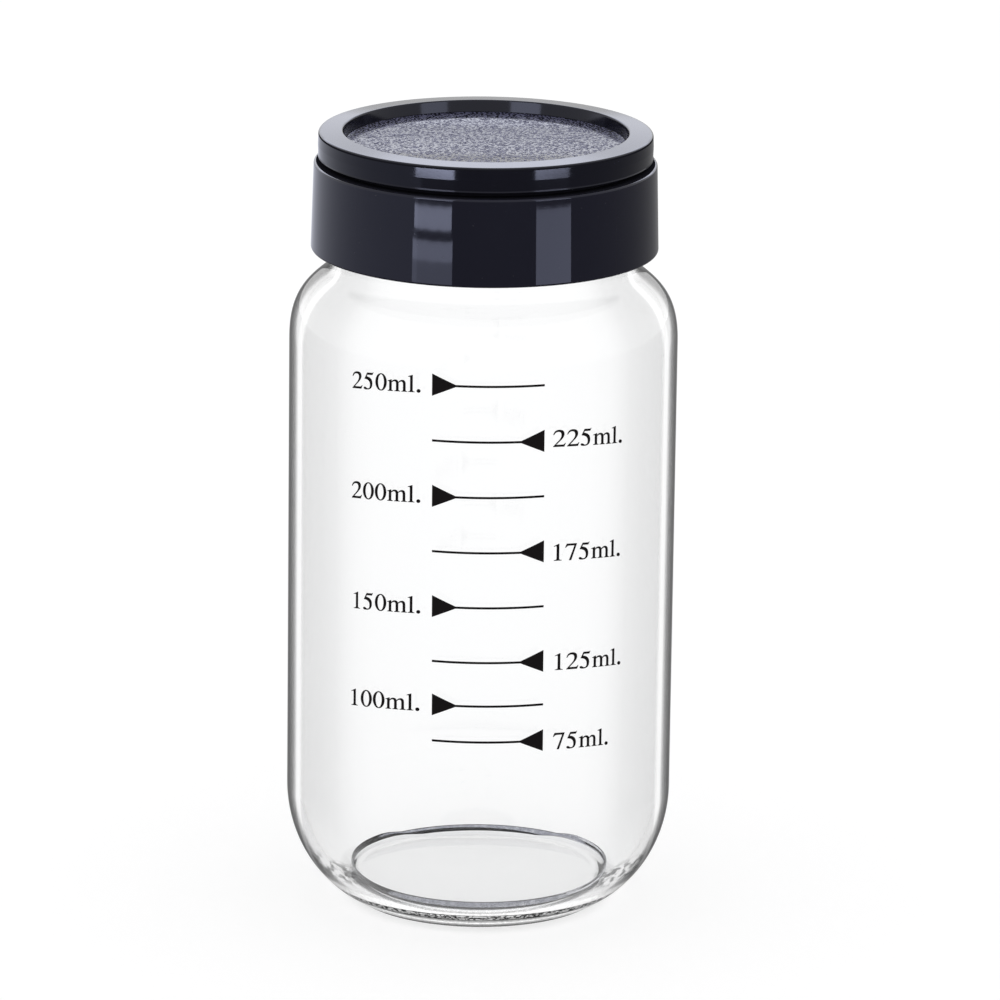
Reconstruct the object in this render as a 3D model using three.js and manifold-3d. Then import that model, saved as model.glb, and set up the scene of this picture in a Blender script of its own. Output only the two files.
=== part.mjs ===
import * as THREE from 'three';
import { mergeVertices } from 'three/addons/utils/BufferGeometryUtils.js';
import Module from 'manifold-3d';

// A clear glass measuring jar with a black screw cap, in millimetres, +Z up.
// The origin is the middle of the ring that the jar stands on, and the printed scale faces -Y.

// Glass body
const bodyRadius = 32.5;
const wallThickness = 2.2;
const wallTop = 97.2; // height where the straight wall ends and the shoulder begins
const bearingRadius = 20.8; // outer edge of the flat ring that the jar stands on
const bearingWidth = 1.8;
const pushUpHeight = 0.5; // hollow under the base, at its middle
const heelHeight = 19.3;
const heelStartAngle = 20.5; // slope of the heel where it leaves the bearing ring, degrees
const floorRadius = 23.7;
const floorThickness = 3.65; // glass above the bearing ring
const innerHeelHeight = 19.3;
const innerHeelAngle = 29; // slope of the inside heel where it leaves the floor, degrees
const ridgeRadius = 22.1; // the low ring that stands on the floor inside
const ridgeHeight = 1.15;
const ridgeFootHalf = 0.38;
const ridgeTopHalf = 0.16;

// Shoulder: one curve that leaves the wall and leans in, then a hollow fillet up into the neck
const shoulderHeight = 11.05;
const shoulderDrop = 0.9; // the inside curve runs this much lower than the outside one
const wallHandle = 6.8; // how far the curve keeps to the wall's direction
const neckHandle = 3.6; // how far it keeps to the slope that it ends in
const neckSlope = 38.6; // that slope, degrees
const neckFillet = 4;
const boreFillet = 6;

// Neck finish and its thread
const neckRadius = 25.6;
const neckWall = 2.4;
const finishHeight = 13.1; // from the top of the fillet to the rim
const rimRound = 0.6;
const threadDepth = 1.1;
const threadLead = 4.2; // rise of the cap in one turn
const threadCrestWidth = 0.9;
const threadFlare = 0.6; // each flank leans out by this much over the thread's depth
const threadTurns = 1.3;
const threadTopDrop = 2.5; // from the rim down to the thread's upper end
const threadRadialGap = 0.4;
const threadFlankGap = 0.3;
const threadRunOut = 18; // the thread fades into the wall over this angle, degrees
const threadRoot = 0.4; // how deep the thread is rooted in the wall that carries it

// Cap: a threaded collar, a top cover that clips on to it, and a liner that seals on the rim
const capThreadStart = 0.25; // turns past the glass thread's lower end
const capThreadTurns = 1;
const skirtGap = 1.15; // from the foot of the neck up to the skirt's lower edge
const skirtWall = 1.5;
const skirtFlare = 0.4; // the skirt is wider at its foot
const skirtFootRound = 0.6;
const skirtTopRound = 0.25;
const skirtLeadIn = 0.5; // chamfer inside the skirt's mouth
const deckThickness = 1.55;
const linerThickness = 1.2;
const linerGap = 0.5;
const coverSetback = 0.7; // the cover's rim stands in from the skirt's upper edge
const coverGap = 0.9; // shadow groove between the skirt and the cover
const coverHeight = 4.35;
const coverWall = 1.4;
const coverRoof = 1.25; // thickness over the channel in the raised rim
const coverInnerWall = 1.2;
const coverRound = 0.45;
const coverFall = 0.25; // the rim's top slopes down outwards by this much
const coverLip = 0.35; // rounding of the rim's inner edge
const recessDepth = 2;
const plateThickness = 1.2;
const spigotThickness = 0.75;
const clipGap = 0.2;
const clipBite = 0.2; // how far the cover's bead catches under the spigot's rib
const clipBeadHeight = 0.6;
const clipRibHeight = 0.7;
const clipBeadRise = 0.65; // from the cover's lower edge up to the bead

// Printed volume scale
const inkGap = 0.04;
const inkThickness = 0.1;
const topMarkDrop = 0.3; // from the top of the wall down to the highest mark
const markStep = 9.4;
const lowMarkStep = 7.5;
const lastMarkStep = 6.2;
const markReach = 9.3; // each mark runs this far to either side of the scale's middle
const pointerLength = 3.9;
const pointerHeight = 3.7;
const lineHeight = 0.34;

// Facets of the round shapes
const sides = 60;
const heelSteps = 8;
const shoulderSteps = 6;
const filletSteps = 4;
const domeSteps = 4;
const roundSteps = 3;
const markSpacing = 1.9;

const radians = THREE.MathUtils.degToRad;

// Levels, from the base up
const shoulderTop = wallTop + shoulderHeight;
const neckFoot = shoulderTop + neckFillet * Math.cos(radians(neckSlope));
const rimLevel = neckFoot + finishHeight;
const deckUnder = rimLevel + linerThickness;
const deckTop = deckUnder + deckThickness;
const skirtFoot = neckFoot + skirtGap;
const coverFoot = deckTop + coverGap;
const coverTop = coverFoot + coverHeight;
const coverFloor = coverTop - recessDepth;
const channelTop = coverTop - coverRoof;

// Radii, from the bore out to the skirt and back in to the recess
const innerRadius = bodyRadius - wallThickness;
const boreRadius = neckRadius - neckWall;
const threadCrest = neckRadius + threadDepth;
const capBore = threadCrest + threadRadialGap;
const capThreadCrest = neckRadius + threadRadialGap;
const skirtTopRadius = capBore + skirtWall;
const skirtFootRadius = skirtTopRadius + skirtFlare;
const coverRadius = skirtTopRadius - coverSetback;
const channelOuter = coverRadius - coverWall;
const ribRadius = channelOuter - clipGap;
const beadRadius = ribRadius - clipBite;
const spigotOuter = beadRadius - clipGap;
const spigotInner = spigotOuter - spigotThickness;
const channelInner = spigotInner - clipGap;
const recessRadius = channelInner - coverInnerWall;

const wasm = await Module();
wasm.setup();

// Keeps only the positions, joins equal points and drops the triangles that close up at an axis.
function welded(geometry) {
  geometry.deleteAttribute('normal');
  geometry.deleteAttribute('uv');
  const merged = mergeVertices(geometry);
  const index = merged.getIndex().array;
  const kept = [];
  for (let i = 0; i < index.length; i += 3) {
    const [a, b, c] = [index[i], index[i + 1], index[i + 2]];
    if (a !== b && b !== c && c !== a) {
      kept.push(a, b, c);
    }
  }
  merged.setIndex(kept);
  return merged;
}

function solidOf(geometry) {
  return new wasm.Manifold(new wasm.Mesh({
    numProp: 3,
    vertProperties: new Float32Array(geometry.getAttribute('position').array),
    triVerts: new Uint32Array(geometry.getIndex().array),
  }));
}

function joined(first, second) {
  const mesh = solidOf(first).add(solidOf(second)).getMesh();
  const geometry = new THREE.BufferGeometry();
  geometry.setAttribute('position', new THREE.Float32BufferAttribute(mesh.vertProperties, 3));
  geometry.setIndex(Array.from(mesh.triVerts));
  return geometry;
}

// Turns a profile of radius and height about the Z axis.
function turned(profile) {
  const geometry = new THREE.LatheGeometry(profile, sides);
  geometry.rotateX(Math.PI / 2);
  return welded(geometry);
}

function at(radius, height) {
  return new THREE.Vector2(radius, height);
}

// A stretch of an ellipse; angle 0 points down, 90 degrees outwards and -90 towards the axis.
function arc(centreRadius, centreHeight, width, height, from, to, steps) {
  const points = [];
  for (let i = 0; i <= steps; i += 1) {
    const angle = radians(from + (to - from) * i / steps);
    points.push(at(centreRadius + width * Math.sin(angle), centreHeight - height * Math.cos(angle)));
  }
  return points;
}

// A heel that leaves the base at an angle and runs upright into the wall.
function heel(footRadius, footLevel, wallRadius, topLevel, startAngle) {
  const start = radians(startAngle);
  const width = (wallRadius - footRadius) / (1 - Math.sin(start));
  const height = (topLevel - footLevel) / Math.cos(start);
  return arc(wallRadius - width, topLevel, width, height, startAngle, 90, heelSteps);
}

// The shoulder's curve and its fillet, from a wall up to an upright neck of a given radius.
function shoulder(wallRadius, topRadius, fillet, drop) {
  const slope = radians(neckSlope);
  const start = at(wallRadius, wallTop - drop);
  const end = at(topRadius + fillet * (1 - Math.sin(slope)), shoulderTop - drop);
  const curve = new THREE.CubicBezierCurve(
    start,
    at(start.x, start.y + wallHandle),
    at(end.x + neckHandle * Math.cos(slope), end.y - neckHandle * Math.sin(slope)),
    end,
  );
  const filletTop = end.y + fillet * Math.cos(slope);
  const hollow = arc(topRadius + fillet, filletTop, fillet, fillet, -neckSlope, -90, filletSteps);
  return [...curve.getPoints(shoulderSteps), ...hollow.slice(1)];
}

// A shallow dome from the axis out to a given radius.
function dome(radius, level, rise) {
  const points = [];
  for (let i = 0; i < domeSteps; i += 1) {
    const share = i / domeSteps;
    points.push(at(radius * share, level + rise * (1 - share * share)));
  }
  return points;
}

// Skins a row of four-sided sections and closes both ends.
function lofted(sections) {
  const positions = sections.flat().flatMap((point) => point.toArray());
  const index = [];
  for (let i = 0; i + 1 < sections.length; i += 1) {
    for (let j = 0; j < 4; j += 1) {
      const a = 4 * i + j;
      const b = 4 * i + (j + 1) % 4;
      index.push(a, b, b + 4, a, b + 4, a + 4);
    }
  }
  const last = 4 * (sections.length - 1);
  index.push(0, 2, 1, 0, 3, 2);
  index.push(last, last + 1, last + 2, last, last + 2, last + 3);
  const geometry = new THREE.BufferGeometry();
  geometry.setAttribute('position', new THREE.Float32BufferAttribute(positions, 3));
  geometry.setIndex(index);
  return geometry;
}

function onRing(radius, angle, level) {
  return new THREE.Vector3(radius * Math.sin(angle), -radius * Math.cos(angle), level);
}

// One thread ridge, rising to the right, that fades into its wall at both ends.
function threadRidge(wallRadius, crestRadius, startTurn, turns, startLevel) {
  const outward = Math.sign(crestRadius - wallRadius);
  const rooted = wallRadius - outward * threadRoot;
  const buried = wallRadius - outward * threadRoot / 2;
  const crestHalf = threadCrestWidth / 2;
  const rootHalf = crestHalf + threadFlare * (1 + threadRoot / threadDepth);
  const steps = Math.round(turns * sides);
  const sections = [];
  for (let i = 0; i <= steps; i += 1) {
    const turn = startTurn + turns * i / steps;
    const toEnd = 360 * Math.min(i, steps - i) * turns / steps;
    const tip = THREE.MathUtils.lerp(buried, crestRadius, Math.min(1, toEnd / threadRunOut));
    const half = THREE.MathUtils.mapLinear(tip, rooted, crestRadius, rootHalf, crestHalf);
    const angle = 2 * Math.PI * turn;
    const level = startLevel + threadLead * turn;
    const section = [
      onRing(rooted, angle, level - rootHalf),
      onRing(tip, angle, level - half),
      onRing(tip, angle, level + half),
      onRing(rooted, angle, level + rootHalf),
    ];
    sections.push(outward > 0 ? section.reverse() : section);
  }
  return lofted(sections);
}

// The glass thread ends at its top below the rim; the cap's runs a flank gap under it.
const threadStartLevel = rimLevel - threadTopDrop - threadTurns * threadLead;
const flankSpread = (threadCrest - capThreadCrest) / threadDepth * threadFlare;
const capThreadDrop = threadCrestWidth + flankSpread + threadFlankGap;

function glassJar() {
  const profile = [
    ...dome(bearingRadius - bearingWidth, 0, pushUpHeight),
    at(bearingRadius - bearingWidth, 0),
    ...heel(bearingRadius, 0, bodyRadius, heelHeight, heelStartAngle),
    ...shoulder(bodyRadius, neckRadius, neckFillet, 0),
    ...arc(neckRadius - rimRound, rimLevel - rimRound, rimRound, rimRound, 90, 180, roundSteps),
    ...arc(boreRadius + rimRound, rimLevel - rimRound, rimRound, rimRound, 180, 270, roundSteps),
    ...shoulder(innerRadius, boreRadius, boreFillet, shoulderDrop).reverse(),
    ...heel(floorRadius, floorThickness, innerRadius, innerHeelHeight, innerHeelAngle).reverse(),
    at(ridgeRadius + ridgeFootHalf, floorThickness),
    at(ridgeRadius + ridgeTopHalf, floorThickness + ridgeHeight),
    at(ridgeRadius - ridgeTopHalf, floorThickness + ridgeHeight),
    at(ridgeRadius - ridgeFootHalf, floorThickness),
    at(0, floorThickness),
  ];
  const ridge = threadRidge(neckRadius, threadCrest, 0, threadTurns, threadStartLevel);
  return joined(turned(profile), ridge);
}

function capCollar() {
  const ribTop = channelTop - clipGap;
  const ribFoot = ribTop - clipRibHeight;
  const profile = [
    at(0, deckUnder),
    at(capBore, deckUnder),
    at(capBore, skirtFoot + skirtLeadIn),
    at(capBore + skirtLeadIn, skirtFoot),
    ...arc(skirtFootRadius - skirtFootRound, skirtFoot + skirtFootRound,
      skirtFootRound, skirtFootRound, 0, 90, roundSteps),
    at(skirtTopRadius, deckTop - skirtTopRound),
    at(skirtTopRadius - skirtTopRound, deckTop),
    at(spigotOuter, deckTop),
    at(spigotOuter, ribFoot),
    at(ribRadius, ribFoot),
    at(spigotOuter, ribTop),
    at(spigotOuter, channelTop),
    at(spigotInner, channelTop),
    at(spigotInner, deckTop),
    at(0, deckTop),
  ];
  const ridge = threadRidge(capBore, capThreadCrest, capThreadStart, capThreadTurns,
    threadStartLevel - capThreadDrop);
  return joined(turned(profile), ridge);
}

function capCover() {
  const plateUnder = coverFloor - plateThickness;
  const beadFoot = coverFoot + clipBeadRise;
  const profile = [
    at(0, plateUnder),
    at(channelInner, plateUnder),
    at(channelInner, channelTop),
    at(channelOuter, channelTop),
    at(channelOuter, beadFoot + clipBeadHeight),
    at(beadRadius, beadFoot + clipBeadHeight),
    at(channelOuter, beadFoot),
    at(channelOuter, coverFoot),
    at(coverRadius, coverFoot),
    ...arc(coverRadius - coverRound, coverTop - coverFall - coverRound,
      coverRound, coverRound, 90, 180, roundSteps),
    at(recessRadius + coverLip, coverTop),
    at(recessRadius, coverTop - coverLip),
    at(recessRadius, coverFloor),
    at(0, coverFloor),
  ];
  return turned(profile);
}

function capLiner() {
  const radius = capBore - linerGap;
  return turned([at(0, rimLevel), at(radius, rimLevel), at(radius, deckUnder), at(0, deckUnder)]);
}

// A printed mark: a pointer that thins to a line. side is -1 for a pointer on the left, 1 on the right.
function scaleMark(level, side) {
  const inner = bodyRadius + inkGap;
  const outer = inner + inkThickness;
  const reaches = [markReach];
  const lineStart = markReach - pointerLength;
  const lineSteps = Math.ceil((lineStart + markReach) / markSpacing);
  for (let i = 0; i <= lineSteps; i += 1) {
    reaches.push(lineStart - (lineStart + markReach) * i / lineSteps);
  }
  const sections = reaches.map((reach) => {
    const half = (reach > lineStart ? pointerHeight : lineHeight) / 2;
    const angle = side * reach / bodyRadius;
    return [
      onRing(inner, angle, level - half),
      onRing(outer, angle, level - half),
      onRing(outer, angle, level + half),
      onRing(inner, angle, level + half),
    ];
  });
  return lofted(side < 0 ? sections.reverse() : sections);
}

// Volume of each mark in millilitres and the step down to it from the mark above.
const marks = [
  { volume: 250, step: 0 },
  { volume: 225, step: markStep },
  { volume: 200, step: markStep },
  { volume: 175, step: markStep },
  { volume: 150, step: markStep },
  { volume: 125, step: markStep },
  { volume: 100, step: lowMarkStep },
  { volume: 75, step: lastMarkStep },
];

function named(name, geometry, look) {
  geometry.computeVertexNormals();
  const mesh = new THREE.Mesh(geometry, new THREE.MeshStandardMaterial(look));
  mesh.name = name;
  return mesh;
}

const clearGlass = { color: 0xf3f6f6, roughness: 0.04, metalness: 0, transparent: true, opacity: 0.35 };
const blackGloss = { color: 0x14151a, roughness: 0.22, metalness: 0 };
const blackSatin = { color: 0x1b1c22, roughness: 0.4, metalness: 0 };
const whiteFoam = { color: 0xe8e6df, roughness: 0.8, metalness: 0 };
const blackInk = { color: 0x0c0c0e, roughness: 0.55, metalness: 0 };

const jar = new THREE.Group();
jar.add(named('glass_jar', glassJar(), clearGlass));
let markLevel = wallTop - topMarkDrop;
marks.forEach(({ volume, step }, order) => {
  markLevel -= step;
  const side = order % 2 === 0 ? -1 : 1;
  jar.add(named(`scale_mark_${volume}`, scaleMark(markLevel, side), blackInk));
});

const cap = new THREE.Group();
cap.add(named('cap_collar', capCollar(), blackGloss));
cap.add(named('cap_cover', capCover(), blackSatin));
cap.add(named('cap_liner', capLiner(), whiteFoam));

const group = new THREE.Group();
group.add(jar, cap);

export default group;
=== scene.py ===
import math

import bmesh
import bpy
import numpy as np
from mathutils import Matrix, Vector


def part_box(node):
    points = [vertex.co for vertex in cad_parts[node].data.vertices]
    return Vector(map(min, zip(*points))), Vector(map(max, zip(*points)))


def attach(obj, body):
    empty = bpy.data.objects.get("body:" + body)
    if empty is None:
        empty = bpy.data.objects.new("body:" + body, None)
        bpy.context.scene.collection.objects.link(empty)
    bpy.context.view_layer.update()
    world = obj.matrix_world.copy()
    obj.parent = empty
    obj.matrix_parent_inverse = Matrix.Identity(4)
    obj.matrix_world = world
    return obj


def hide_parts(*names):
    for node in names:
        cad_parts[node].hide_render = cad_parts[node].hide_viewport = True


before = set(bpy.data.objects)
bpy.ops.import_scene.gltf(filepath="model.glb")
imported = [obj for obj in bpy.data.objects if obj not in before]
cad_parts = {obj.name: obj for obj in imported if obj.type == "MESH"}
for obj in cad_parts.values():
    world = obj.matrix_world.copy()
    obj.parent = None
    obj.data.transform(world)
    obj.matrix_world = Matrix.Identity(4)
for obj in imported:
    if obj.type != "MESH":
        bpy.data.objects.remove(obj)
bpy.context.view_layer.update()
mm = 0.001
tiny = 1e-6  # lengths closer than this are the same


# Node trees: a wire is one socket, and sums on wires add their own nodes
class Wire:
    def __init__(self, tree, socket=None):
        self.tree = tree
        self.socket = socket

    def node(self, kind, settings=None, sockets=None, output=0):
        made = self.tree.nodes.new(kind)
        for key, value in (settings or {}).items():
            if key == "stops":
                self.setStops(made.color_ramp, value)
            else:
                setattr(made, key, value)
        for key, value in (sockets or {}).items():
            self.plug(value, made.inputs[key])
        return Wire(self.tree, made.outputs[output]) if made.outputs else made

    def setStops(self, greys, stops):
        while len(greys.elements) < len(stops):
            greys.elements.new(1.0)
        for element, (position, shade) in zip(greys.elements, stops):
            element.position = position
            element.color = (shade, shade, shade, 1.0)

    def plug(self, value, target):
        if isinstance(value, Wire):
            self.tree.links.new(value.socket, target)
        else:
            target.default_value = value

    def maths(self, operation, first, second):
        return self.node("ShaderNodeMath", {"operation": operation}, {0: first, 1: second})

    def __add__(self, other):
        return self.maths("ADD", self, other)

    def __sub__(self, other):
        return self.maths("SUBTRACT", self, other)

    def __rsub__(self, other):
        return self.maths("SUBTRACT", other, self)

    def __mul__(self, other):
        return self.maths("MULTIPLY", self, other)

    def __gt__(self, other):
        return self.maths("GREATER_THAN", self, other)

    __radd__ = __add__
    __rmul__ = __mul__

    def mix(self, first, second):  # two colours, with this wire as the share of the second
        sockets = {0: self, 6: first, 7: second}
        return self.node("ShaderNodeMix", {"data_type": "RGBA"}, sockets, 2)


# A principled material: constants go on the shader's own sockets
def finish(name, constants):
    material = bpy.data.materials.new(name)
    material.use_nodes = True
    shader = material.node_tree.nodes["Principled BSDF"]
    for socket, value in constants.items():
        shader.inputs[socket].default_value = value
    return material, Wire(material.node_tree), shader


def noise(wire, size, stretch=(1, 1, 1), detail=3.0):  # grains of a size in millimetres
    place = wire.node("ShaderNodeTexCoord", output="Object")
    scaled = wire.node("ShaderNodeMapping", {}, {"Vector": place, "Scale": stretch})
    sockets = {"Vector": scaled, "Scale": 1 / (size * mm), "Detail": detail, "Roughness": 0.55}
    return wire.node("ShaderNodeTexNoise", {}, sockets)


def bump(wire, height, depth):
    return wire.node("ShaderNodeBump", {}, {"Height": height, "Distance": depth * mm, "Strength": 1.0})


def ramp(wire, stops, value):
    return wire.node("ShaderNodeValToRGB", {"stops": stops}, {"Fac": value})


def within(wire, value, ends):  # from 0 at the first end to 1 at the second
    return wire.node("ShaderNodeMapRange", {}, {"Value": value, "From Min": ends[0], "From Max": ends[1]})


def rising(wire, height, band):  # from 0 to 1 over a band of heights in millimetres
    return wire.node("ShaderNodeMapRange", {"interpolation_type": "SMOOTHSTEP"}, {
        "Value": height, "From Min": band[0] * mm, "From Max": band[1] * mm})


# Painted shade and glow over how far the glass turns away, bands of height in millimetres, and shares of the
# foot's height
glassFinish = {
    "ior": 1.5, "glint": 0.6, "waveSize": 26, "waveDepth": 0.03, "clear": (0.992, 0.996, 0.998),
    "wallSideShade": [(0, 1), (0.2, 0.98), (0.27, 0.93), (0.31, 0.86), (0.37, 0.74), (0.45, 0.68), (0.56, 0.66),
                 (0.625, 0.7), (0.655, 1)],
    "wallEdgeShade": [(0.71, 1), (0.738, 0.4), (0.76, 0.15), (0.8, 0.05), (0.86, 0)],
    "heelEdgeShade": [(0, 1), (0.5, 0.95), (0.88, 0.9), (0.93, 0.5), (1, 0.3)],
    "heelBand": (3.5, 7.0), "sideFade": (6, 22),
    "streak": [(0.64, 0), (0.66, 1), (0.7, 1), (0.725, 0)], "streakGlow": 0.11,
    "foot": 10, "paintedStippleBand": [(0.265, 0), (0.285, 1), (0.365, 1), (0.39, 0)], "stipple": 0.55,
    "stippleStretch": (1, 1, 0.5), "stippleRange": (0.54, 0.45), "stippleShade": 0.95, "stippleGlow": 0.35,
    "heelShadeSide": [(0.26, 0), (0.36, 1), (0.63, 1), (0.7, 0)], "heelShadeBand": [(6, 8), (10, 12)],
    "heelShade": 0.9, "heelShadeStretch": (0.5, 0.5, 1.0), "heelShadeRange": (0.46, 0.54), "heelShadeDepth": 0.85,
    "footGlow": [(0.06, 0), (0.1, 0.3), (0.15, 0.55), (0.22, 0.5), (0.27, 0), (0.37, 0), (0.4, 0.32),
                 (0.5, 0.3), (0.58, 0)], "evenGlow": 0.4, "dotGlow": 1.2,
    "ridge": (0.33, 0.34, 0.39), "ridgeShadeThin": (0.6, 0.61, 0.65), "patch": 1.1, "patchRange": (0.5, 0.75)}


# Clear glass with a faint wave in it
def clearGlass(name):
    look = glassFinish
    material, wire, shader = finish(name, {
        "IOR": look["ior"], "Roughness": 0.0, "Transmission Weight": 1.0, "Base Color": (*look["clear"], 1),
        "Specular Tint": (look["glint"], look["glint"], look["glint"], 1)})
    wave = noise(wire, look["waveSize"], detail=1.0)
    wire.plug(bump(wire, wave, look["waveDepth"]), shader.inputs["Normal"])
    return material, wire, shader


# The outside: painted shade darkens the glass where it is seen edge on, and the heel less so
def outerGlass():
    look = glassFinish
    material, wire, shader = clearGlass("glass_outside")
    shader.inputs["Emission Strength"].default_value = 1.0
    facing = wire.node("ShaderNodeLayerWeight", {}, {"Blend": 0.5}, "Facing")
    normal = wire.node("ShaderNodeNewGeometry", output="Normal")
    level = wire.node("ShaderNodeVectorMath", {"operation": "MULTIPLY"}, {0: normal, 1: (1, 1, 0)})
    aside = wire.node("ShaderNodeVectorMath", {"operation": "NORMALIZE"}, {0: level})
    around = wire.node("ShaderNodeLayerWeight", {}, {"Blend": 0.5, "Normal": aside}, "Facing")
    outside = 1 - wire.node("ShaderNodeNewGeometry", output="Backfacing")
    place = wire.node("ShaderNodeTexCoord", output="Object")
    height = wire.node("ShaderNodeSeparateXYZ", {}, {"Vector": place}, "Z")
    upTheWall = rising(wire, height, look["heelBand"])
    # painted shade: grey towards the glass's sides and dark at its very edge, on the heel by a ramp of its
    # own
    side = (1 - ramp(wire, look["wallSideShade"], around)) * rising(wire, height, look["sideFade"])
    edge = ramp(wire, look["wallEdgeShade"], facing)
    wall = upTheWall.mix(ramp(wire, look["heelEdgeShade"], facing), (1 - side) * edge)
    # painted shade in dots above the foot, with painted glints between them, where the stippled bearing shows
    # through the glass
    footShare = height * (1 / (look["foot"] * mm))
    band = ramp(wire, look["paintedStippleBand"], footShare)
    dots = noise(wire, look["stipple"], stretch=look["stippleStretch"], detail=1.0)
    dark = within(wire, dots, look["stippleRange"])
    # painted shade: broken dark patches at the heel's sides, where its thick glass throws streaks
    low, high = (rising(wire, height, ends) for ends in look["heelShadeBand"])
    patches = noise(wire, look["heelShade"], stretch=look["heelShadeStretch"])
    broken = within(wire, patches, look["heelShadeRange"])
    heelShade = outside * ramp(wire, look["heelShadeSide"], around) * low * (1 - high) * broken
    # what the painted shade of the dots and of the heel's patches leaves of the glass's colour
    unshadedShare = (1 - outside * band * dark * look["stippleShade"]) * (1 - heelShade * look["heelShadeDepth"])
    wire.plug(wall * unshadedShare, shader.inputs["Base Color"])
    # light gathers in the foot, between the dots and beside the wall's dark edge
    glow = ramp(wire, look["footGlow"], footShare) * (dots * look["dotGlow"] + look["evenGlow"])
    streak = ramp(wire, look["streak"], around) * upTheWall * look["streakGlow"]
    gleam = glow + band * (1 - dark) * look["stippleGlow"] + streak
    wire.plug(outside * gleam, shader.inputs["Emission Color"])
    return material


# The ridge round the floor bends the light away, so its glass is tinted grey as painted shade, paler in
# patches
def ridgeGlass():
    look = glassFinish
    material, wire, shader = clearGlass("glass_ridge_shade")
    thin = within(wire, noise(wire, look["patch"], detail=2.0), look["patchRange"])
    wire.plug(thin.mix((*look["ridge"], 1), (*look["ridgeShadeThin"], 1)), shader.inputs["Base Color"])
    return material


inkFinish = {"colour": (0.006, 0.0045, 0.005), "worn": (0.013, 0.0105, 0.0115), "grain": 0.25,
             "specular": 0.1, "roughness": 0.42, "spread": 0.25, "bump": 0.01}


def blackInk():
    look = inkFinish
    material, wire, shader = finish("scale_ink", {"Specular IOR Level": look["specular"]})
    patch = noise(wire, look["grain"])
    wire.plug(patch.mix((*look["colour"], 1), (*look["worn"], 1)), shader.inputs["Base Color"])
    wire.plug(patch * look["spread"] + look["roughness"], shader.inputs["Roughness"])
    wire.plug(bump(wire, patch, look["bump"]), shader.inputs["Normal"])
    return material


capTint = (0.86, 0.88, 1.0, 1)
glossFinish = {"colour": (0.0075, 0.0075, 0.0165), "rubbed": (0.0105, 0.0105, 0.021), "cloud": 9,
               "dust": (0.06, 0.06, 0.07), "speck": 0.6, "speckAbove": 0.78, "speckShare": 0.35,
               "specular": 0.3, "roughness": 0.012, "cloudy": 0.02, "lined": 0.01, "dusty": 0.2,
               "ringPitch": 0.5, "ringStretch": (0.012, 0.012, 1), "bump": 0.0001}


# Moulded black plastic: smooth, with faint lines round it from the turned mould
def blackGloss():
    look = glossFinish
    material, wire, shader = finish("cap_black_gloss", {
        "Specular IOR Level": look["specular"], "IOR": 1.5, "Specular Tint": capTint})
    cloud = noise(wire, look["cloud"])
    lines = noise(wire, look["ringPitch"], stretch=look["ringStretch"], detail=2.0)
    specks = noise(wire, look["speck"], detail=1.0) > look["speckAbove"]
    base = cloud.mix((*look["colour"], 1), (*look["rubbed"], 1))
    wire.plug((specks * look["speckShare"]).mix(base, (*look["dust"], 1)), shader.inputs["Base Color"])
    uneven = cloud * look["cloudy"] + lines * look["lined"] + specks * look["dusty"]
    wire.plug(uneven + look["roughness"], shader.inputs["Roughness"])
    wire.plug(bump(wire, lines, look["bump"]), shader.inputs["Normal"])
    return material


satinGrain = {"grain": 0.18, "cloud": 7}
coverFinish = {"colour": (0.004, 0.004, 0.0095), "worn": (0.0065, 0.0065, 0.013), "roughness": 0.05,
               "spread": 0.04, "specular": 0.3, "bump": 0.0005}
wallFinish = {**coverFinish, "specular": 0.23}
# the pebbled floor's colour: partly its own dark tone, partly painted sheen that lifts and blues it to the
# grey it shows at a low angle
grainToneAndSheen = {"colour": (0.062, 0.062, 0.125), "worn": (0.082, 0.082, 0.155), "roughness": 0.42,
               "spread": 0.12, "specular": 0.7, "bump": 0.008}
# painted shade: the plastic with no reflections at all, for grooves and corners
shadeMatteFinish = {"colour": (0.012, 0.012, 0.017), "worn": (0.015, 0.015, 0.021), "roughness": 0.55,
               "spread": 0.12, "specular": 0.0, "bump": 0.01}


# The cover's plastic: on its rim, its wall and its pebbled floor, and as painted shade in grooves and
# corners, where a copy without reflections darkens them
def blackSatin(name, look):
    material, wire, shader = finish(name, {
        "Specular IOR Level": look["specular"], "IOR": 1.5, "Specular Tint": capTint})
    cloud = noise(wire, satinGrain["cloud"])
    fine = noise(wire, satinGrain["grain"], detail=2.0)
    wire.plug(cloud.mix((*look["colour"], 1), (*look["worn"], 1)), shader.inputs["Base Color"])
    wire.plug((fine + cloud) * look["spread"] + look["roughness"], shader.inputs["Roughness"])
    wire.plug(bump(wire, fine, look["bump"]), shader.inputs["Normal"])
    return material


foamFinish = {"colour": (0.82, 0.81, 0.77), "pore": (0.66, 0.65, 0.6), "poreSize": 0.35,
              "specular": 0.2, "roughness": 0.68, "spread": 0.2, "bump": 0.06}


def linerFoam():
    look = foamFinish
    material, wire, shader = finish("liner_foam", {"Specular IOR Level": look["specular"]})
    pores = noise(wire, look["poreSize"], detail=4.0)
    wire.plug(pores.mix((*look["pore"], 1), (*look["colour"], 1)), shader.inputs["Base Color"])
    wire.plug(pores * look["spread"] + look["roughness"], shader.inputs["Roughness"])
    wire.plug(bump(wire, pores, look["bump"]), shader.inputs["Normal"])
    return material


# Turned shapes: a profile is a row of (radius, height) in millimetres, from the axis or closed on itself
def arc(centre, width, height, start, end, steps):
    angles = np.radians(np.linspace(start, end, steps + 1))
    return [(centre[0] + width * math.sin(a), centre[1] - height * math.cos(a)) for a in angles]


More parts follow.
